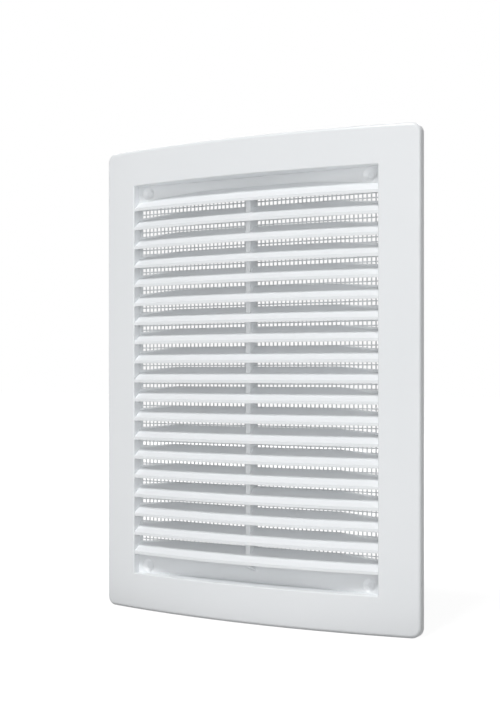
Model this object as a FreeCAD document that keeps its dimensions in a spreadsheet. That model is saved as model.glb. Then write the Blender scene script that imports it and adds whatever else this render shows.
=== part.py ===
import FreeCAD, Part
import math
import os

import Sketcher
from FreeCAD import Vector

# Louvred exhaust grille for a wall opening: an arched one-piece plastic cover with
# swept louvres, and a flat insect net that lies on the back of its panels.
#
# The origin is the centre of the wall plane. X runs to the right as seen from the
# room, Y runs into the wall, so the front faces -Y, and Z is up. Lengths are in mm.

# Driving sizes

SIZES = {
    # cover outline
    "width": 188.0,
    "height": 251.0,
    "depth": 14.7,  # wall to the crown of the arched front
    "edge_depth": 4.45,  # wall to the arched front at its left and right sides
    "corner_radius": 5.0,
    "edge_radius": 1.8,  # rounding of the front rim
    "wall": 2.0,  # thickness of skin, side walls and recess walls
    # frame around the recess
    "band_width": 20.75,
    "band_height": 19.7,
    "panel_height": 12.02,  # recess end to the top of the nearest louvre lip
    "panel_thickness": 1.5,
    "opening_bevel": 0.4,  # leg of the bevel on the front edges of the recess
    "net_seat": 2.4,  # wall to the back of the panels, where the net lies
    # louvres
    "slat_count": 19,
    "slat_setback": 0.6,  # arched front to the noses of the louvres
    "slat_lip": 1.65,  # height of the upright nose of a louvre
    "slat_gap": 1.94,  # open height between a louvre and the lip above it
    "slat_angle": 38.0,  # rise of the web from the horizontal, in degrees
    "window_offset": 3.06,  # lip top to the window edge behind that louvre
    # central rib
    "rib_width": 2.7,
    "rib_setback": 5.07,  # crown of the front to the front edge of the rib
    "rib_foot_front": 1.47,  # lowest lip to the foot of the rib at its front
    "rib_foot_drop": 2.43,  # fall of the sloped foot on its way to the panel
    "rib_root_radius": 1.2,  # rounding between the foot of the rib and the panel
    # screw marks in the corners of the panels
    "screw_inset_x": 6.5,
    "screw_inset_z": 4.1,
    "mark_diameter": 7.3,
    "mark_floor": 3.4,
    "mark_depth": 1.35,
    "mark_skin": 0.7,  # closed skin between a mark and the bore behind it
    "bore_diameter": 4.2,
    "boss_diameter": 9.0,
    # insect net
    "net_thickness": 0.8,
    "net_overlap": 3.0,  # rim that lies on the panels outside the window
    "net_border": 1.4,  # rim that shows inside the window
    "net_columns": 9,
    "net_rows": 13,
    "net_bar": 1.1,
    "net_clearance": 0.4,  # free space around the upper bosses
}

# Distance by which a cutting shape runs past the face it leaves through

PAST = 1.0

# Share of a recess wall that the end of a louvre reaches into it

EMBED = 0.8

# Share of the space between the louvres and the panels that the rib rounding may take

ROUNDING_SHARE = 0.85

# Sizes that follow from the driving ones, written as expressions of the sheet

SAGITTA = "(sizes.depth - sizes.edge_depth)"
FRONT_RADIUS = f"(((sizes.width / 2)^2 + {SAGITTA}^2) / (2 * {SAGITTA}))"
AXIS_Y = f"({FRONT_RADIUS} - sizes.depth)"
OPENING_X = "(sizes.width / 2 - sizes.band_width)"
OPENING_Z = "(sizes.height / 2 - sizes.band_height)"
PANEL_Y = "(-sizes.net_seat - sizes.panel_thickness)"
LIP_TOP = f"({OPENING_Z} - sizes.panel_height)"
SLAT_PITCH = f"(2 * {LIP_TOP} / (sizes.slat_count - 1))"
SLAT_RISE = f"({SLAT_PITCH} - sizes.slat_lip - sizes.slat_gap)"
SLAT_RUN = f"({SLAT_RISE} / tan(sizes.slat_angle))"
NOSE_RADIUS = f"({FRONT_RADIUS} - sizes.slat_setback)"
NOSE_Y = "(sizes.slat_setback - sizes.depth)"
SLAT_SPACE = f"abs({PANEL_Y} - {NOSE_Y} - {SLAT_RUN})"
SCREW_X = f"({OPENING_X} - sizes.screw_inset_x)"
SCREW_Z = f"({OPENING_Z} - sizes.screw_inset_z)"
NET_HOLES_X = f"({OPENING_X} - sizes.net_border)"
NET_HOLES_Z = f"({LIP_TOP} - sizes.net_border)"
NET_PITCH_X = f"((2 * {NET_HOLES_X} + sizes.net_bar) / sizes.net_columns)"
NET_PITCH_Z = f"((2 * {NET_HOLES_Z} + sizes.net_bar) / sizes.net_rows)"


def front_y(x, inset="0"):
    """Y of the arched front at x, or of the parallel surface that lies inset behind it."""
    return f"({AXIS_Y} - sqrt(({FRONT_RADIUS} - {inset})^2 - ({x})^2))"


def make_sheet(doc):
    """Write the driving sizes into the sheet that every sketch and feature reads."""
    sheet = doc.addObject("Spreadsheet::Sheet", "sizes")
    for row, (name, number) in enumerate(SIZES.items(), start=1):
        sheet.set(f"A{row}", name)
        sheet.set(f"B{row}", str(number))
        sheet.setAlias(f"B{row}", name)
    doc.recompute()
    return sheet


def value(item, expression):
    """Number that an expression of the sheet has now."""
    return float(item.Document.sizes.evalExpression(str(expression)))


def origin_item(body, role):
    """Plane or axis of the body's own origin."""
    return next(item for item in body.Origin.OriginFeatures if item.Role == role)


def new_body(doc, name):
    body = doc.addObject("PartDesign::Body", name)
    body.Label = name
    return body


def new_sketch(body, name, plane, offset="0"):
    """Sketch on an origin plane, moved by the offset along the plane's normal."""
    sketch = body.newObject("Sketcher::SketchObject", name)
    sketch.AttachmentSupport = (origin_item(body, plane), [""])
    sketch.MapMode = "FlatFace"
    sketch.setExpression("AttachmentOffset.Base.z", offset)
    return sketch


def tie(sketch, kind, expression, *elements):
    """Dimension of the sketch that follows an expression of the sheet."""
    number = sketch.addConstraint(Sketcher.Constraint(kind, *elements, value(sketch, expression)))
    sketch.setExpression(f"Constraints[{number}]", str(expression))


def add_front_arc(sketch, first, last, radius):
    """Arc about the cover's upright axis, from its left end to its right end."""
    centre = Vector(0, value(sketch, AXIS_Y), 0)
    start, end = (math.atan2(y - centre.y, x) for x, y in (first, last))
    circle = Part.Circle(centre, Vector(0, 0, 1), value(sketch, radius))
    geometry = sketch.addGeometry(Part.ArcOfCircle(circle, start, end), False)
    tie(sketch, "Radius", radius, geometry)


def draw_outline(sketch, corners, arc_radius=None):
    """Closed outline through the corners. With an arc radius, its second side is a front arc."""
    points = [(value(sketch, x), value(sketch, y)) for x, y in corners]
    count = len(corners)
    base = sketch.GeometryCount
    for side in range(count):
        first = points[side]
        last = points[(side + 1) % count]
        if arc_radius is not None and side == 1:
            add_front_arc(sketch, first, last, arc_radius)
        else:
            line = Part.LineSegment(Vector(*first, 0), Vector(*last, 0))
            sketch.addGeometry(line, False)
    for side in range(count):
        after = base + (side + 1) % count
        sketch.addConstraint(Sketcher.Constraint("Coincident", base + side, 2, after, 1))
    for side, (x, y) in enumerate(corners):
        tie(sketch, "DistanceX", x, -1, 1, base + side, 1)
        tie(sketch, "DistanceY", y, -1, 1, base + side, 1)


def draw_rectangle(sketch, left, right, low, high):
    draw_outline(sketch, [(left, low), (right, low), (right, high), (left, high)])


def draw_circle(sketch, x, y, diameter):
    centre = Vector(value(sketch, x), value(sketch, y), 0)
    circle = Part.Circle(centre, Vector(0, 0, 1), value(sketch, diameter) / 2)
    geometry = sketch.addGeometry(circle, False)
    tie(sketch, "Diameter", diameter, geometry)
    tie(sketch, "DistanceX", x, -1, 1, geometry, 3)
    tie(sketch, "DistanceY", y, -1, 1, geometry, 3)


def extrude(body, kind, sketch, length, symmetric=True, reverse=False):
    """Pad or pocket of a sketch, to both sides of its plane or to one."""
    feature = body.newObject(f"PartDesign::{kind}", sketch.Name.replace("sketch", kind.lower()))
    feature.Profile = (sketch, [""])
    feature.setExpression("Length", length)
    feature.SideType = "Symmetric" if symmetric else "One side"
    feature.Reversed = reverse
    sketch.Visibility = False
    body.Document.recompute()
    return feature


def mirror(body, feature, plane):
    """Repeat a feature on the other side of an origin plane."""
    copy = body.newObject("PartDesign::Mirrored", f"{feature.Name}_mirrored")
    copy.Originals = [feature]
    copy.MirrorPlane = (origin_item(body, plane), [""])
    body.Tip = copy
    body.Document.recompute()
    return copy


def dress_edges(body, kind, name, size, wanted):
    """Round or bevel the edges of the body that the test function picks."""
    base = body.Tip
    edges = [f"Edge{i}" for i, edge in enumerate(base.Shape.Edges, start=1) if wanted(edge)]
    dressing = body.newObject(f"PartDesign::{kind}", name)
    dressing.Base = (base, edges)
    dressing.setExpression("Radius" if kind == "Fillet" else "Size", size)
    body.Document.recompute()
    return dressing


def stands_at(edge, x, z):
    """True for an edge along Y that stands at plus or minus x and plus or minus z."""
    box = edge.BoundBox
    thin = max(box.XLength, box.ZLength) < 1e-3
    return thin and abs(abs(box.XMin) - x) < 1e-3 and abs(abs(box.ZMin) - z) < 1e-3


def joins_corners(edge, corner):
    """True for an edge between two of the four points that mirror the corner in X and Z."""
    ends = [Vector(abs(end.X), end.Y, abs(end.Z)) for end in edge.Vertexes]
    return all(end.distanceToPoint(corner) < 1e-3 for end in ends)


def rises_at(edge, x, y):
    """True for an upright edge that stands at plus or minus x and at y."""
    return all(abs(abs(end.X) - x) + abs(end.Y - y) < 1e-3 for end in edge.Vertexes)


# Cover

def add_casing(body):
    """Solid block with the arched front, rounded corners and a rounded front rim."""
    half = "sizes.width / 2"
    sketch = new_sketch(body, "casing_sketch", "XY_Plane")
    corners = [(f"-{half}", "0"), (f"-{half}", front_y(half)), (half, front_y(half)), (half, "0")]
    draw_outline(sketch, corners, FRONT_RADIUS)
    extrude(body, "Pad", sketch, "sizes.height")
    half_width = value(body, half)
    half_height = value(body, "sizes.height / 2")
    dress_edges(
        body,
        "Fillet",
        "corner_rounding",
        "sizes.corner_radius",
        lambda edge: stands_at(edge, half_width, half_height),
    )
    rim = -value(body, "sizes.edge_depth") + 0.01
    dress_edges(body, "Fillet", "rim_rounding", "sizes.edge_radius", lambda edge: edge.BoundBox.YMax < rim)


def cut_recess(body):
    """Rectangular recess down to the flat panels, and the window through them."""
    recess = new_sketch(body, "recess_sketch", "XY_Plane")
    draw_rectangle(recess, f"-{OPENING_X}", OPENING_X, f"-sizes.depth - {PAST}", PANEL_Y)
    extrude(body, "Pocket", recess, f"2 * {OPENING_Z}")
    corner = Vector(*(value(body, place) for place in (OPENING_X, front_y(OPENING_X), OPENING_Z)))
    dress_edges(
        body, "Chamfer", "opening_bevel", "sizes.opening_bevel", lambda edge: joins_corners(edge, corner)
    )
    window = new_sketch(body, "window_sketch", "XZ_Plane")
    low = f"sizes.window_offset - {LIP_TOP}"
    high = f"sizes.window_offset + {LIP_TOP}"
    draw_rectangle(window, f"-{OPENING_X}", OPENING_X, low, high)
    extrude(body, "Pocket", window, "2 * sizes.depth")


def add_slats(body):
    """Louvres: an upright nose and a web that rises to the rear, swept along the arch."""
    sketch = new_sketch(body, "slat_sketch", "YZ_Plane")
    rear = f"{NOSE_Y} + {SLAT_RUN}"
    nose_top = f"-{LIP_TOP}"
    rear_top = f"{SLAT_RISE} - {LIP_TOP}"
    section = [
        (NOSE_Y, nose_top),
        (rear, rear_top),
        (rear, f"{rear_top} - sizes.slat_lip"),
        (NOSE_Y, f"{nose_top} - sizes.slat_lip"),
    ]
    draw_outline(sketch, section)
    axis_y = value(sketch, AXIS_Y)
    axis = sketch.addGeometry(Part.LineSegment(Vector(axis_y, 0, 0), Vector(axis_y, 1, 0)), True)
    sketch.addConstraint(Sketcher.Constraint("PointOnObject", axis, 1, -1))
    sketch.addConstraint(Sketcher.Constraint("Vertical", axis))
    tie(sketch, "DistanceX", AXIS_Y, -1, 1, axis, 1)
    tie(sketch, "DistanceY", "1", -1, 1, axis, 2)
    slat = body.newObject("PartDesign::Revolution", "slat")
    slat.Profile = (sketch, [""])
    slat.ReferenceAxis = (sketch, ["Axis0"])
    slat.Midplane = True
    slat.setExpression("Angle", f"2 * asin(({OPENING_X} + {EMBED} * sizes.wall) / {NOSE_RADIUS})")
    sketch.Visibility = False
    body.Document.recompute()
    slats = body.newObject("PartDesign::LinearPattern", "slats")
    slats.Originals = [slat]
    slats.Direction = (origin_item(body, "Z_Axis"), [""])
    slats.setExpression("Length", f"2 * {LIP_TOP}")
    slats.setExpression("Occurrences", "sizes.slat_count")
    body.Tip = slats
    body.Document.recompute()


def add_rib(body):
    """Upright rib behind the louvres, with a sloped foot on the lower panel."""
    sketch = new_sketch(body, "rib_sketch", "YZ_Plane")
    front = "sizes.rib_setback - sizes.depth"
    rear = f"-sizes.net_seat + {PAST}"
    foot = f"-{LIP_TOP} - sizes.slat_lip - sizes.rib_foot_front"
    slope = "tan(sizes.slat_angle)"
    head_low = f"{LIP_TOP} - sizes.slat_lip / 2 + (sizes.rib_setback - sizes.slat_setback) * {slope}"
    head_high = f"{LIP_TOP} + {SLAT_RISE} - sizes.slat_lip / 2"
    side = [
        (front, foot),
        (front, head_low),
        (f"{NOSE_Y} + {SLAT_RUN}", head_high),
        (rear, head_high),
        (rear, f"{foot} - sizes.rib_foot_drop"),
        (PANEL_Y, f"{foot} - sizes.rib_foot_drop"),
    ]
    draw_outline(sketch, side)
    extrude(body, "Pad", sketch, "sizes.rib_width")
    half_width = value(body, "sizes.rib_width / 2")
    panel = value(body, PANEL_Y)
    dress_edges(
        body,
        "Fillet",
        "rib_root_rounding",
        f"min(sizes.rib_root_radius; {ROUNDING_SHARE} * {SLAT_SPACE})",
        lambda edge: rises_at(edge, half_width, panel),
    )


def hollow_back(body):
    """Flat seat for the net behind the panels, and the hollow behind the frame."""
    inner_x = f"({OPENING_X} + sizes.wall)"
    inner_z = f"({OPENING_Z} + sizes.wall)"
    outer_x = "(sizes.width / 2 - sizes.wall)"
    outer_z = "(sizes.height / 2 - sizes.wall)"

    seat = new_sketch(body, "seat_sketch", "XY_Plane")
    draw_rectangle(seat, f"-{inner_x}", inner_x, "-sizes.net_seat", "sizes.depth")
    extrude(body, "Pocket", seat, f"2 * {inner_z}")

    skin_radius = f"({FRONT_RADIUS} - sizes.wall)"
    side = new_sketch(body, "side_hollow_sketch", "XY_Plane")
    corners = [
        (inner_x, f"{PAST}"),
        (inner_x, front_y(inner_x, "sizes.wall")),
        (outer_x, front_y(outer_x, "sizes.wall")),
        (outer_x, f"{PAST}"),
    ]
    draw_outline(side, corners, skin_radius)
    mirror(body, extrude(body, "Pocket", side, f"2 * {inner_z} + {PAST}"), "YZ_Plane")

    end = new_sketch(body, "end_hollow_sketch", "XY_Plane", inner_z)
    corners = [
        (f"-{outer_x}", f"{PAST}"),
        (f"-{outer_x}", front_y(outer_x, "sizes.wall")),
        (outer_x, front_y(outer_x, "sizes.wall")),
        (outer_x, f"{PAST}"),
    ]
    draw_outline(end, corners, skin_radius)
    depth = "sizes.band_height - 2 * sizes.wall"
    mirror(body, extrude(body, "Pocket", end, depth, symmetric=False, reverse=True), "XY_Plane")

    corner_x = value(body, outer_x)
    corner_z = value(body, outer_z)
    dress_edges(
        body,
        "Fillet",
        "hollow_rounding",
        "sizes.corner_radius - sizes.wall",
        lambda edge: stands_at(edge, corner_x, corner_z),
    )


def draw_screw_circles(sketch, diameter):
    for side in ("-", ""):
        for end in ("-", ""):
            draw_circle(sketch, f"{side}{SCREW_X}", f"{end}{SCREW_Z}", diameter)


def add_screw_marks(body):
    """Closed conical screw marks in the panels, and the bored bosses behind them."""
    bosses = new_sketch(body, "boss_sketch", "XZ_Plane")
    draw_screw_circles(bosses, "sizes.boss_diameter")
    depth = "sizes.net_seat + sizes.panel_thickness / 2"
    extrude(body, "Pad", bosses, depth, symmetric=False)
    bores = new_sketch(body, "bore_sketch", "XZ_Plane")
    draw_screw_circles(bores, "sizes.bore_diameter")
    depth = f"-{PANEL_Y} - sizes.mark_depth - sizes.mark_skin"
    extrude(body, "Pocket", bores, depth, symmetric=False, reverse=True)
    marks = new_sketch(body, "mark_sketch", "XZ_Plane", f"-{PANEL_Y}")
    draw_screw_circles(marks, "sizes.mark_diameter")
    pocket = extrude(body, "Pocket", marks, "sizes.mark_depth", symmetric=False)
    slope = "-atan((sizes.mark_diameter - sizes.mark_floor) / 2 / sizes.mark_depth)"
    pocket.setExpression("TaperAngle", slope)
    body.Document.recompute()


def make_cover(doc):
    body = new_body(doc, "grille_body")
    add_casing(body)
    cut_recess(body)
    add_slats(body)
    add_rib(body)
    hollow_back(body)
    add_screw_marks(body)
    return body


# Insect net

def make_net(doc):
    """Flat net with a solid rim. Its own origin is the middle of its front face."""
    body = new_body(doc, "insect_mesh")
    half_x = f"({OPENING_X} + sizes.net_overlap)"
    half_z = f"({LIP_TOP} + sizes.net_overlap)"
    plate = new_sketch(body, "plate_sketch", "XZ_Plane")
    draw_rectangle(plate, f"-{half_x}", half_x, f"-{half_z}", half_z)
    extrude(body, "Pad", plate, "sizes.net_thickness", symmetric=False, reverse=True)

    notch = new_sketch(body, "notch_sketch", "XZ_Plane")
    across = "sizes.boss_diameter + 2 * sizes.net_clearance"
    for side in ("-", ""):
        draw_circle(notch, f"{side}{SCREW_X}", f"{SCREW_Z} - sizes.window_offset", across)
    extrude(body, "Pocket", notch, "4 * sizes.net_thickness")

    hole = new_sketch(body, "hole_sketch", "XZ_Plane")
    left = f"-{NET_HOLES_X}"
    low = f"-{NET_HOLES_Z}"
    right = f"{left} + {NET_PITCH_X} - sizes.net_bar"
    high = f"{low} + {NET_PITCH_Z} - sizes.net_bar"
    draw_rectangle(hole, left, right, low, high)
    first = extrude(body, "Pocket", hole, "4 * sizes.net_thickness")
    holes = body.newObject("PartDesign::LinearPattern", "holes")
    holes.Originals = [first]
    holes.Direction = (origin_item(body, "X_Axis"), [""])
    holes.setExpression("Length", f"(sizes.net_columns - 1) * {NET_PITCH_X}")
    holes.setExpression("Occurrences", "sizes.net_columns")
    holes.Direction2 = (origin_item(body, "Z_Axis"), [""])
    holes.setExpression("Length2", f"(sizes.net_rows - 1) * {NET_PITCH_Z}")
    holes.setExpression("Occurrences2", "sizes.net_rows")
    body.Tip = holes
    body.setExpression("Placement.Base.y", "-sizes.net_seat")
    body.setExpression("Placement.Base.z", "sizes.window_offset")
    doc.recompute()
    return body


# Checks and files

def check_document(doc):
    """Stop if a feature failed, or if a pad, pocket or pattern changed nothing."""
    for item in doc.Objects:
        if "Invalid" in item.State or "Error" in item.State:
            raise RuntimeError(f"{item.Name} failed: {item.State}")
        base = getattr(item, "BaseFeature", None)
        if base is not None and abs(item.Shape.Volume - base.Shape.Volume) < 1e-3:
            raise RuntimeError(f"{item.Name} changes nothing")


def write_part(body):
    shape = body.Shape
    if shape.isNull() or not shape.isValid() or len(shape.Solids) != 1:
        raise RuntimeError(f"{body.Label} is not one valid solid")
    shape.exportStep(os.path.join("parts", f"{body.Label}.step"))
    box = shape.BoundBox
    print(f"{body.Label}: {shape.Volume:.1f} mm3, {len(shape.Faces)} faces,")
    print(f"  X {box.XMin:.2f} {box.XMax:.2f}, Y {box.YMin:.2f} {box.YMax:.2f}, Z {box.ZMin:.2f} {box.ZMax:.2f}")


doc = FreeCAD.newDocument("exhaust_grille")
make_sheet(doc)
bodies = [make_cover(doc), make_net(doc)]
doc.recompute()
check_document(doc)
os.makedirs("parts", exist_ok=True)
for body in bodies:
    write_part(body)
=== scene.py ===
# %% [markdown]
# # A louvred exhaust grille
# The object is a white wall cover for a vent opening. One plastic moulding carries an arched
# frame, nineteen swept louvres, an upright rib and flat panels, and a fine net lies behind it.
# The CAD model already has the right shapes, so this file gives them their finish, makes the
# net as fine as the real one, and lights and frames the object as a studio photograph would.

# %% Load the CAD frame
import math

import bmesh
import bpy
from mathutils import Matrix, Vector


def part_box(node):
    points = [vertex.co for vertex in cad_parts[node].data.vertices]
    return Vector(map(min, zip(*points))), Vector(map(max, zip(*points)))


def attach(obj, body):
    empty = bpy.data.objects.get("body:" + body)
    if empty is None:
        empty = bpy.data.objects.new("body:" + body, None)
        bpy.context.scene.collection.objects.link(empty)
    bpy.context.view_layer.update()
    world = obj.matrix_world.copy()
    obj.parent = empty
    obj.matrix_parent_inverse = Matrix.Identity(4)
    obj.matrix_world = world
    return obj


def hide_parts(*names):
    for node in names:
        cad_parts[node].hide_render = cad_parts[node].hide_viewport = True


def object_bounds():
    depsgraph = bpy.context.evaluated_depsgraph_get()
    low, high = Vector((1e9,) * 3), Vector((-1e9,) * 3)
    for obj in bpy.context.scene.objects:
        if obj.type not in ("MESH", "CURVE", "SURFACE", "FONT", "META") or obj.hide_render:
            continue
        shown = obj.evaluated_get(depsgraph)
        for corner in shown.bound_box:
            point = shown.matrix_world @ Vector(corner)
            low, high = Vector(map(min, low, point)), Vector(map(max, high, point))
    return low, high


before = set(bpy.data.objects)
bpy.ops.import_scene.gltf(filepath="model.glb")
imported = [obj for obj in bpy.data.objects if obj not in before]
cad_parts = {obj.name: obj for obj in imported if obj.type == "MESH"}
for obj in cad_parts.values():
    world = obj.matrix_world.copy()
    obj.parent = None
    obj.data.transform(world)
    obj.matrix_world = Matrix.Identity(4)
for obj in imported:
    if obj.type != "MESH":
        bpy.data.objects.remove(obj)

box_at_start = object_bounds()
print("nodes:", sorted(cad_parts))

# %% [markdown]
# ## Colours and material helpers
# Paint and plastic colours are easiest to name as hex values, which are made for screens.
# Shaders want linear light, so one function turns them. Every material here is a small graph
# of nodes, so one more function adds a node, sets its settings and joins its inputs.

# %% Colour and node helpers


def linear(hex_colour):
    """Linear red, green, blue and alpha of an sRGB hex colour."""
    channels = [int(hex_colour[i : i + 2], 16) / 255 for i in (1, 3, 5)]
    turned = [c / 12.92 if c <= 0.04045 else ((c + 0.055) / 1.055) ** 2.4 for c in channels]
    return (*turned, 1.0)


def add_node(tree, kind, inputs=None, **settings):
    """New node of that kind. An input is a number, a colour or another node's output socket."""
    node = tree.nodes.new(kind)
    for name, setting in settings.items():
        setattr(node, name, setting)
    for name, source in (inputs or {}).items():
        socket = node.inputs[name]
        if isinstance(source, bpy.types.NodeSocket):
            tree.links.new(source, socket)
        else:
            socket.default_value = source
    return node


def new_material(name):
    """Material with an empty graph, ready for its nodes."""
    material = bpy.data.materials.new(name)
    material.use_nodes = True
    material.node_tree.nodes.clear()
    return material


# %% [markdown]
# ## Moulded ABS
# The cover is injection-moulded ABS, pigmented white and a touch cool. The mould was finely
# polished, so the skin has a soft gloss: highlights are wide but a wall is still mirrored
# faintly in the panel beside it. Up close the skin is not perfect. It has a slow ripple from
# shrinkage, a very fine grain, and gloss that drifts a little where the melt flowed. The real
# grain is too fine to show, so it is drawn 0.9 mm wide. The edges that the CAD leaves sharp
# are really rounded by about 0.15 mm, and the Bevel node bends the shading there so that they
# catch the light.

# %% Sizes of the moulded skin, in metres

GRAIN_WIDTH = 0.0009
GRAIN_HEIGHT = 0.00003
GRAIN_STRENGTH = 0.10
RIPPLE_HEIGHT = 0.0004
RIPPLE_STRENGTH = 0.05
FLOW_PER_RIPPLE = 2.5  # the flow marks are this much longer than the ripple
GLOSS_DRIFT = 0.12  # share by which the roughness drifts up and down
ABS_IOR = 1.54
EDGE_SAMPLES = 6

# %% Moulded white ABS


def moulded_abs(name, tint, shade, roughness, ripple, edge):
    """Pigmented ABS skin. The ripple is its length in metres, the edge a rounding radius."""
    material = new_material(name)
    tree = material.node_tree
    place = add_node(tree, "ShaderNodeTexCoord").outputs["Object"]
    flow = add_node(
        tree,
        "ShaderNodeTexNoise",
        {
            "Vector": place,
            "Scale": 1 / (FLOW_PER_RIPPLE * ripple),
            "Detail": 3.0,
            "Roughness": 0.55,
        },
    )
    colour = add_node(tree, "ShaderNodeMix", {"Factor": flow.outputs["Fac"]}, data_type="RGBA")
    colour.inputs[6].default_value = linear(tint)
    colour.inputs[7].default_value = linear(shade)
    gloss = add_node(
        tree,
        "ShaderNodeMapRange",
        {
            "Value": flow.outputs["Fac"],
            "To Min": roughness * (1 - GLOSS_DRIFT),
            "To Max": roughness * (1 + GLOSS_DRIFT),
        },
    )
    wave = add_node(
        tree, "ShaderNodeTexNoise", {"Vector": place, "Scale": 1 / ripple, "Detail": 1.0}
    )
    grain = add_node(
        tree, "ShaderNodeTexNoise", {"Vector": place, "Scale": 1 / GRAIN_WIDTH, "Detail": 2.0}
    )
    rounded = add_node(tree, "ShaderNodeBevel", {"Radius": edge}, samples=EDGE_SAMPLES)
    rippled = add_node(
        tree,
        "ShaderNodeBump",
        {
            "Height": wave.outputs["Fac"],
            "Normal": rounded.outputs["Normal"],
            "Strength": RIPPLE_STRENGTH,
            "Distance": RIPPLE_HEIGHT,
        },
    )
    grained = add_node(
        tree,
        "ShaderNodeBump",
        {
            "Height": grain.outputs["Fac"],
            "Normal": rippled.outputs["Normal"],
            "Strength": GRAIN_STRENGTH,
            "Distance": GRAIN_HEIGHT,
        },
    )
    skin = add_node(
        tree,
        "ShaderNodeBsdfPrincipled",
        {
            "Base Color": colour.outputs[2],
            "Roughness": gloss.outputs["Result"],
            "Normal": grained.outputs["Normal"],
            "IOR": ABS_IOR,
        },
    )
    add_node(tree, "ShaderNodeOutputMaterial", {"Surface": skin.outputs["BSDF"]})
    return material


white_abs = moulded_abs(
    "moulded_white_abs", "#F2F4F6", "#EDF0F2", roughness=0.32, ripple=0.022, edge=0.00015
)
print("material:", white_abs.name)

# %% [markdown]
# ## The cover
# The cover keeps its CAD mesh, which already has the arch, the louvres and the rib. It only
# takes the plastic in its material slots. The same small function dresses the new pieces.

# %% Dress the cover


def dress(piece, material):
    """Give every material slot of a piece this material."""
    if not piece.material_slots:
        piece.data.materials.append(material)
    for slot in piece.material_slots:
        slot.material = material


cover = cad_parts["grille_body"]
dress(cover, white_abs)
print("cover slots:", len(cover.material_slots), "faces:", len(cover.data.polygons))

# %% [markdown]
# ## The insect net
# The real net is a thin moulded sheet with 59 columns of square holes, 2.4 mm apart, inside a
# solid rim. The CAD net keeps the outline with a few wide openings, which is enough for
# physics. Here a flat grid gets one face for each hole. Each face is inset by half a bar, the
# inner faces are deleted, and a Solidify modifier gives what is left its thickness.

# %% Net sizes from the CAD net

HOLE_PITCH = 0.002436
BAR = 0.00064  # width of a bar between two holes
COLUMNS = 59
ROWS = 76
HOLES_LOWER = 0.0003  # the middle of the holes lies this far below the middle of the net
NET_THICKNESS = 0.0003
net_low, net_high = (Vector(corner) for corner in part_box("insect_mesh"))
net_middle = (net_low + net_high) / 2
net_half = (net_high - net_low) / 2
holes_z = net_middle.z - HOLES_LOWER
print("net half size in mm:", [round(1000 * v, 2) for v in net_half])

# %% Fine net


def select_where(piece, test, kind="verts"):
    """In edit mode, select just the elements whose place passes the test."""
    mesh = bmesh.from_edit_mesh(piece.data)
    bpy.ops.mesh.select_all(action="DESELECT")
    for element in getattr(mesh, kind):
        place = element.calc_center_median() if kind == "faces" else element.co
        element.select_set(test(place))
    mesh.select_flush_mode()
    bmesh.update_edit_mesh(piece.data)


def finish_with(piece, kind, **settings):
    """Add a modifier to the piece and apply it."""
    modifier = piece.modifiers.new(kind.lower(), kind)
    for name, setting in settings.items():
        setattr(modifier, name, setting)
    bpy.context.view_layer.objects.active = piece
    bpy.ops.object.modifier_apply(modifier=modifier.name)


def deselect():
    """Leave nothing selected, so that the next operator acts on the new piece only."""
    bpy.ops.object.select_all(action="DESELECT")


deselect()
bpy.ops.mesh.primitive_grid_add(
    x_subdivisions=COLUMNS + 2, y_subdivisions=ROWS + 2, size=1, rotation=(math.pi / 2, 0, 0)
)
net = bpy.context.object
net.name = "fine_insect_net"
net.scale = ((COLUMNS + 2) * HOLE_PITCH, (ROWS + 2) * HOLE_PITCH, 1)
net.location = (net_middle.x, net_low.y, holes_z)
bpy.ops.object.transform_apply(location=True, rotation=True, scale=True)

bpy.ops.object.mode_set(mode="EDIT")
bpy.ops.mesh.select_mode(type="VERT")
edge_x = (COLUMNS / 2 + 0.5) * HOLE_PITCH
edge_z = (ROWS / 2 + 0.5) * HOLE_PITCH
for side in (-1, 1):
    select_where(net, lambda place: side * (place.x - net_middle.x) > edge_x)
    grow = net_half.x - (COLUMNS / 2 + 1) * HOLE_PITCH
    bpy.ops.transform.translate(value=(side * grow, 0, 0))
    select_where(net, lambda place: side * (place.z - holes_z) > edge_z)
    grow = net_half.z + side * HOLES_LOWER - (ROWS / 2 + 1) * HOLE_PITCH
    bpy.ops.transform.translate(value=(0, 0, side * grow))
bpy.ops.mesh.select_mode(type="FACE")
inner_x = COLUMNS / 2 * HOLE_PITCH
inner_z = ROWS / 2 * HOLE_PITCH
select_where(
    net,
    lambda place: abs(place.x - net_middle.x) < inner_x and abs(place.z - holes_z) < inner_z,
    "faces",
)
bpy.ops.mesh.inset(thickness=BAR / 2, depth=0, use_individual=True)
bpy.ops.mesh.delete(type="FACE")
bpy.ops.object.mode_set(mode="OBJECT")
finish_with(net, "SOLIDIFY", thickness=NET_THICKNESS, offset=-1)
print("net faces:", len(net.data.polygons))

# %% [markdown]
# The rim of the net is notched around the two upper screw bosses. A cylinder at each boss is
# subtracted with a Boolean modifier. The net is a closed shell, so the Manifold solver does
# this quickly even on so many faces.

# %% Notches around the upper bosses

SCREW_X = 0.06675
SCREW_Z = 0.1017
NOTCH_RADIUS = 0.0049
NOTCH_SIDES = 48
CUTTER_DEPTH = 0.004

for side in (-1, 1):
    deselect()
    bpy.ops.mesh.primitive_cylinder_add(
        vertices=NOTCH_SIDES,
        radius=NOTCH_RADIUS,
        depth=CUTTER_DEPTH,
        location=(side * SCREW_X, net_middle.y, SCREW_Z),
        rotation=(math.pi / 2, 0, 0),
    )
    cutter = bpy.context.object
    finish_with(net, "BOOLEAN", object=cutter, operation="DIFFERENCE", solver="MANIFOLD")
    bpy.data.objects.remove(cutter)
print("net triangles:", sum(len(face.vertices) - 2 for face in net.data.polygons))

# %% [markdown]
# ## Net plastic
# The net is moulded from a white much like the cover's. Its bars are too small for a slow
# ripple to show, and its mould is plainer, so the same recipe is used with a smaller pattern
# and less shine.

# %% Net finish

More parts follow.
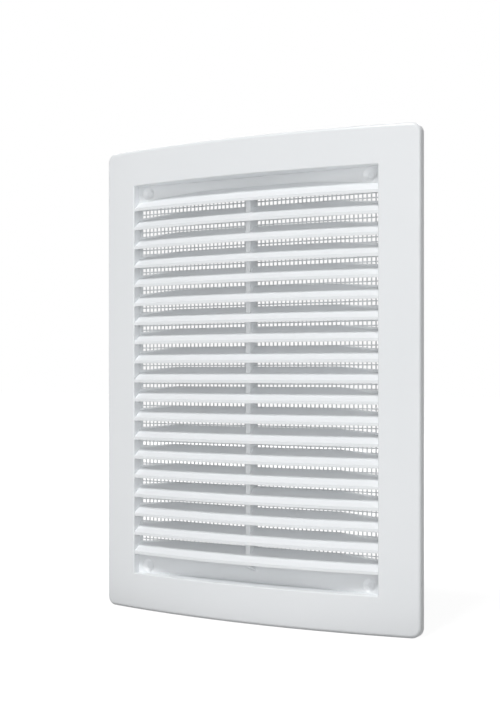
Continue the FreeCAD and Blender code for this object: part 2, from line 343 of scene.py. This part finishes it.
net_plastic = moulded_abs(
    "moulded_net_plastic", "#EEF0F1", "#E8EBED", roughness=0.42, ripple=0.006, edge=0.0001
)
dress(net, net_plastic)
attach(net, "root")
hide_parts("insect_mesh")
print("net finish:", net_plastic.name)

# %% [markdown]
# ## Tails of the louvre webs
# Near the side walls the arched webs reach the net, and the CAD model ends them flat there. The
# photograph shows that the open strip above each web stays almost level to its ends. A small
# upright wall at the right end of the lowest web gives it that edge. An Array modifier repeats
# it for every louvre, and a Mirror modifier does the same at the left.

# %% Sizes of a tail, in metres

LOUVRES = 19
LOUVRE_PITCH = 0.01042
REAR_EDGE = -0.08695  # height of the rear edge of the lowest web
TAIL_FROM = 0.052  # sideways reach of a tail, up to the side wall
TAIL_TO = 0.0737
TAIL_HEIGHT = 0.0009
TAIL_DEPTH = 0.0004
BELOW_EDGE = 0.0001  # the top starts this far below the rear edge
NET_GAP = 0.00002  # free space between a tail and the net
TOP_FALL = 0.00165  # fall of the top and the foot towards the side wall
FOOT_FALL = 0.0024
tail_middle = (TAIL_FROM + TAIL_TO) / 2
tail_z = REAR_EDGE - BELOW_EDGE - TAIL_HEIGHT / 2
tail_y = net_low.y - NET_GAP - TAIL_DEPTH / 2
print("tail length in mm:", round(1000 * (TAIL_TO - TAIL_FROM), 1))

# %% Upright tails at the ends of the webs

deselect()
bpy.ops.mesh.primitive_cube_add(size=1, location=(tail_middle, tail_y, tail_z))
tails = bpy.context.object
tails.name = "louvre_tails"
tails.scale = (TAIL_TO - TAIL_FROM, TAIL_DEPTH, TAIL_HEIGHT)
bpy.ops.object.transform_apply(location=True, rotation=True, scale=True)
bpy.ops.object.mode_set(mode="EDIT")
bpy.ops.mesh.select_mode(type="VERT")
select_where(tails, lambda place: place.x > tail_middle and place.z < tail_z)
bpy.ops.transform.translate(value=(0, 0, -FOOT_FALL))
select_where(tails, lambda place: place.x > tail_middle and place.z > tail_z)
bpy.ops.transform.translate(value=(0, 0, -TOP_FALL))
bpy.ops.object.mode_set(mode="OBJECT")
finish_with(
    tails,
    "ARRAY",
    count=LOUVRES,
    use_relative_offset=False,
    use_constant_offset=True,
    constant_offset_displace=(0, 0, LOUVRE_PITCH),
)
finish_with(tails, "MIRROR")
bpy.ops.object.mode_set(mode="EDIT")
bpy.ops.mesh.select_all(action="SELECT")
bpy.ops.mesh.normals_make_consistent(inside=False)
bpy.ops.object.mode_set(mode="OBJECT")
dress(tails, white_abs)
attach(tails, "root")
print("tail faces:", len(tails.data.polygons))

# %% [markdown]
# ## Floor
# The photograph has pure white all round the object. A wide floor passes under its lower
# edge. What the camera sees of the floor is mostly a steady white, with just enough of the
# real shading left near the object to keep its soft shadow. To the object the floor is a
# lighter or darker sheet of paper: it sends back more light where it lies farther in front,
# and least right under the rim, which stays dark in the photograph. Light Path tells the two
# apart, for the floor and for the world.

# %% Rays that see the white


def seen_by(tree, *kinds):
    """Socket that is 1 for these kinds of ray, and 0 for the light that reaches the object."""
    rays = add_node(tree, "ShaderNodeLightPath")
    seen = rays.outputs[kinds[0]]
    for kind in kinds[1:]:
        both = {0: seen, 1: rays.outputs[kind]}
        seen = add_node(tree, "ShaderNodeMath", both, operation="MAXIMUM").outputs[0]
    return seen


# %% Floor

FLOOR_SIZE = 12
FLOOR_WHITE = 0.92
WHITE_FROM = 0.1  # the steady white grows from this distance to the next, in metres
WHITE_TO = 0.5
# metres in front of the object, and how brightly the floor sends light back there
FLOOR_GLOW = ((0.015, 0.0), (0.03, 0.38), (0.3, 0.38), (0.6, 0.40))
FLOOR_SHADED = "#808080"

deselect()
bpy.ops.mesh.primitive_plane_add(size=FLOOR_SIZE, location=(0, 0, box_at_start[0].z))
floor = bpy.context.object
floor.name = "studio_floor"
paper = new_material("white_paper_floor")
tree = paper.node_tree
seen = seen_by(tree, "Is Camera Ray", "Is Glossy Ray")
shaded = add_node(tree, "ShaderNodeBsdfDiffuse", {"Color": linear(FLOOR_SHADED)})
place = add_node(tree, "ShaderNodeTexCoord").outputs["Object"]
distance = add_node(tree, "ShaderNodeVectorMath", {0: place}, operation="LENGTH")
ahead = add_node(
    tree, "ShaderNodeVectorMath", {0: place, 1: (0, -1, 0)}, operation="DOT_PRODUCT"
)
white = add_node(
    tree,
    "ShaderNodeMapRange",
    {
        "Value": distance.outputs["Value"],
        "From Min": WHITE_FROM,
        "From Max": WHITE_TO,
        "To Min": FLOOR_WHITE,
    },
)
glow = add_node(tree, "ShaderNodeValToRGB", {"Fac": ahead.outputs["Value"]})
glow.color_ramp.elements.remove(glow.color_ramp.elements[1])
glow.color_ramp.elements[0].color = (0, 0, 0, 1)
for metres, level in FLOOR_GLOW:
    stop = glow.color_ramp.elements.new(metres)
    stop.color = (level, level, level, 1)
strength = add_node(
    tree,
    "ShaderNodeMapRange",
    {"Value": seen, "To Min": glow.outputs[0], "To Max": white.outputs[0]},
)
steady = add_node(tree, "ShaderNodeEmission", {"Strength": strength.outputs[0]})
both = add_node(tree, "ShaderNodeAddShader", {0: shaded.outputs[0], 1: steady.outputs[0]})
add_node(tree, "ShaderNodeOutputMaterial", {"Surface": both.outputs[0]})
dress(floor, paper)
print("floor height in mm:", round(1000 * box_at_start[0].z, 1))

# %% [markdown]
# ## World
# The world is white to the camera, in reflections and through glass, and gives only a faint
# light to the object, whose shading comes from the lamps.

# %% World

WORLD_LIGHT = 0.02

world = bpy.data.worlds.new("studio_white")
bpy.context.scene.world = world
world.use_nodes = True
tree = world.node_tree
tree.nodes.clear()
seen = seen_by(tree, "Is Camera Ray", "Is Glossy Ray", "Is Transmission Ray")
strength = add_node(
    tree, "ShaderNodeMapRange", {"Value": seen, "To Min": WORLD_LIGHT, "To Max": 1.0}
)
light = add_node(
    tree, "ShaderNodeBackground", {"Color": linear("#FFFFFF"), "Strength": strength.outputs[0]}
)
add_node(tree, "ShaderNodeOutputWorld", {"Surface": light.outputs[0]})
print("world light on the object:", WORLD_LIGHT)

# %% [markdown]
# ## Lamps
# The shadow under each louvre tells where the main lamp is: high in front of the object, and
# about as wide as fourteen degrees of sky. It stands well back, so that the top and the foot
# of the object get nearly the same light. A wide panel at the right, almost level with the
# object, fills the shadows as a white reflector would. Two weak ones, above and at the left,
# do the rest in front. One behind the object lights its back.

# %% Lamps


def area_lamp(name, direction, distance, width, power):
    """Square lamp in that direction from the origin, turned towards it."""
    data = bpy.data.lights.new(name, "AREA")
    data.shape = "SQUARE"
    data.size = width
    data.energy = power
    lamp = bpy.data.objects.new(name, data)
    bpy.context.scene.collection.objects.link(lamp)
    away = Vector(direction).normalized()
    lamp.location = away * distance
    lamp.rotation_euler = away.to_track_quat("Z", "Y").to_euler()
    return lamp


# name, direction, distance and width in metres, power in watts
LAMPS = (
    ("key_lamp", (-0.04, -1.0, 1.55), 6.0, 1.5, 228.0),
    ("side_panel", (0.8, -1.0, 0.05), 2.0, 1.2, 14.4),
    ("top_panel", (0.3, -1.0, 0.8), 2.0, 1.2, 3.2),
    ("left_panel", (-1.1, -1.0, 0.1), 2.0, 1.2, 1.5),
    ("back_panel", (-0.5, 1.0, 0.3), 2.0, 1.2, 14.0),
)
for lamp_settings in LAMPS:
    print("lamp:", area_lamp(*lamp_settings).name)

# %% [markdown]
# ## Camera
# The camera stands to the right of the object and level with its middle, turned 30.7 degrees.
# Its place and lens were worked out from the photograph, and a small vertical shift puts the
# horizon where the photograph has it.

# %% Camera

SENSOR_WIDTH = 36
FOCAL_LENGTH = 64.0
HORIZON_SHIFT = 0.0187
NEAREST = 0.01
CAMERA_PLACE = (0.33929, -0.57996, 0.00306)
CAMERA_TURN = 30.656

lens_data = bpy.data.cameras.new("photo_camera")
lens_data.sensor_width = SENSOR_WIDTH
lens_data.lens = FOCAL_LENGTH
lens_data.shift_y = HORIZON_SHIFT
lens_data.clip_start = NEAREST
camera = bpy.data.objects.new("photo_camera", lens_data)
bpy.context.scene.collection.objects.link(camera)
camera.location = CAMERA_PLACE
camera.rotation_euler = (math.pi / 2, 0, math.radians(CAMERA_TURN))
bpy.context.scene.camera = camera
print("camera turned by:", CAMERA_TURN, "degrees")

# %% [markdown]
# ## Colour
# The Standard view shows colours as they are written. The object's box was noted at the start
# of the work. Nothing that was added may make the object larger.

# %% Colour management

bpy.context.scene.view_settings.view_transform = "Standard"
